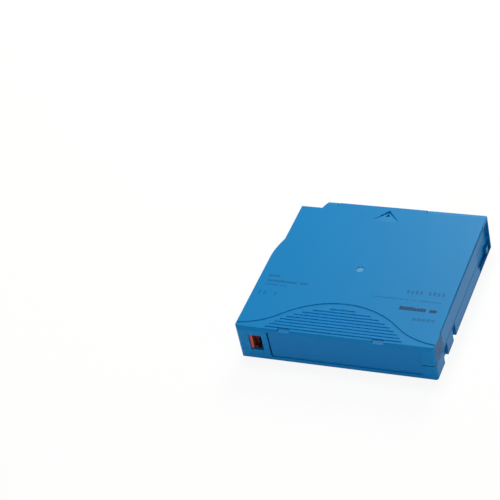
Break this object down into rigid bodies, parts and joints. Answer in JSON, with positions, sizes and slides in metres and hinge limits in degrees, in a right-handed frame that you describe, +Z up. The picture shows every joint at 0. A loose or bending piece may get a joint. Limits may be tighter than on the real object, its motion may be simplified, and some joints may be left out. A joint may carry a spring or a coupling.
{
  "type": "data tape cartridge",
  "caption": "Flat square half-inch data tape cartridge: two-part moulded case, one reel, sliding side door, leader pin and write-protect tab.",
  "frame": {"origin": "centre of the case's bottom face, on the surface that it lies on", "axes": "+X right along the label end, +Y towards the leading end that enters the drive, +Z up through the top face"},
  "size_m": [0.1054, 0.102, 0.0215],
  "materials": {
    "case": "satin moulded plastic, blue",
    "door": "satin moulded plastic, blue",
    "tab": "satin moulded plastic, red",
    "reel": "satin moulded plastic, light grey",
    "brake": "natural white bearing plastic",
    "clip": "black moulded plastic",
    "tape": "dark smooth coated film",
    "plate_steel": "stamped or turned stainless steel",
    "screw_steel": "plated steel",
    "spring_steel": "drawn spring steel",
    "board": "green lacquered circuit board",
    "chip": "black moulded resin",
    "coil": "lacquered copper winding"
  },
  "bodies": {
    "case": {"upper_shell": "case", "lower_shell": "case", "case_screws": "screw_steel", "door_spring": "spring_steel", "tape_end": "tape", "leader_pin": "plate_steel", "tape_clip": "clip", "pin_spring": "spring_steel", "brake_spring": "spring_steel", "memory_board": "board", "memory_chip": "chip", "memory_coil": "coil"},
    "door": {"door": "door"},
    "tab": {"write_protect_tab": "tab"},
    "reel": {"reel_hub": "reel", "upper_flange": "reel", "reel_plate": "plate_steel", "tape_pack": "tape"},
    "brake": {"brake_gear": "brake"},
    "pad": {"release_pad": "brake"}
  },
  "joints": [
    {"name": "door_slide", "type": "slide", "parent": "case", "child": "door", "axis": [0, -1, 0], "range_m": [0, 0.0145], "stiffness_N_per_m": 25, "springref_m": -0.012, "deforming": ["door_spring"]},
    {"name": "tab_slide", "type": "slide", "parent": "case", "child": "tab", "axis": [1, 0, 0], "range_m": [0, 0.0027]},
    {"name": "reel_spin", "type": "hinge", "parent": "case", "child": "reel", "pos_m": [-0.0013, 0, 0.0107], "axis": [0, 0, 1], "continuous": true},
    {"name": "brake_lift", "type": "slide", "parent": "case", "child": "brake", "axis": [0, 0, 1], "range_m": [0, 0.0018], "stiffness_N_per_m": 300, "springref_m": -0.006, "deforming": ["brake_spring"]},
    {"name": "pad_lift", "type": "slide", "parent": "reel", "child": "pad", "axis": [0, 0, 1], "range_m": [0, 0.0018]}
  ],
  "couplings": [
    {"joint": "pad_lift", "follows": "brake_lift", "ratio": 1}
  ]
}
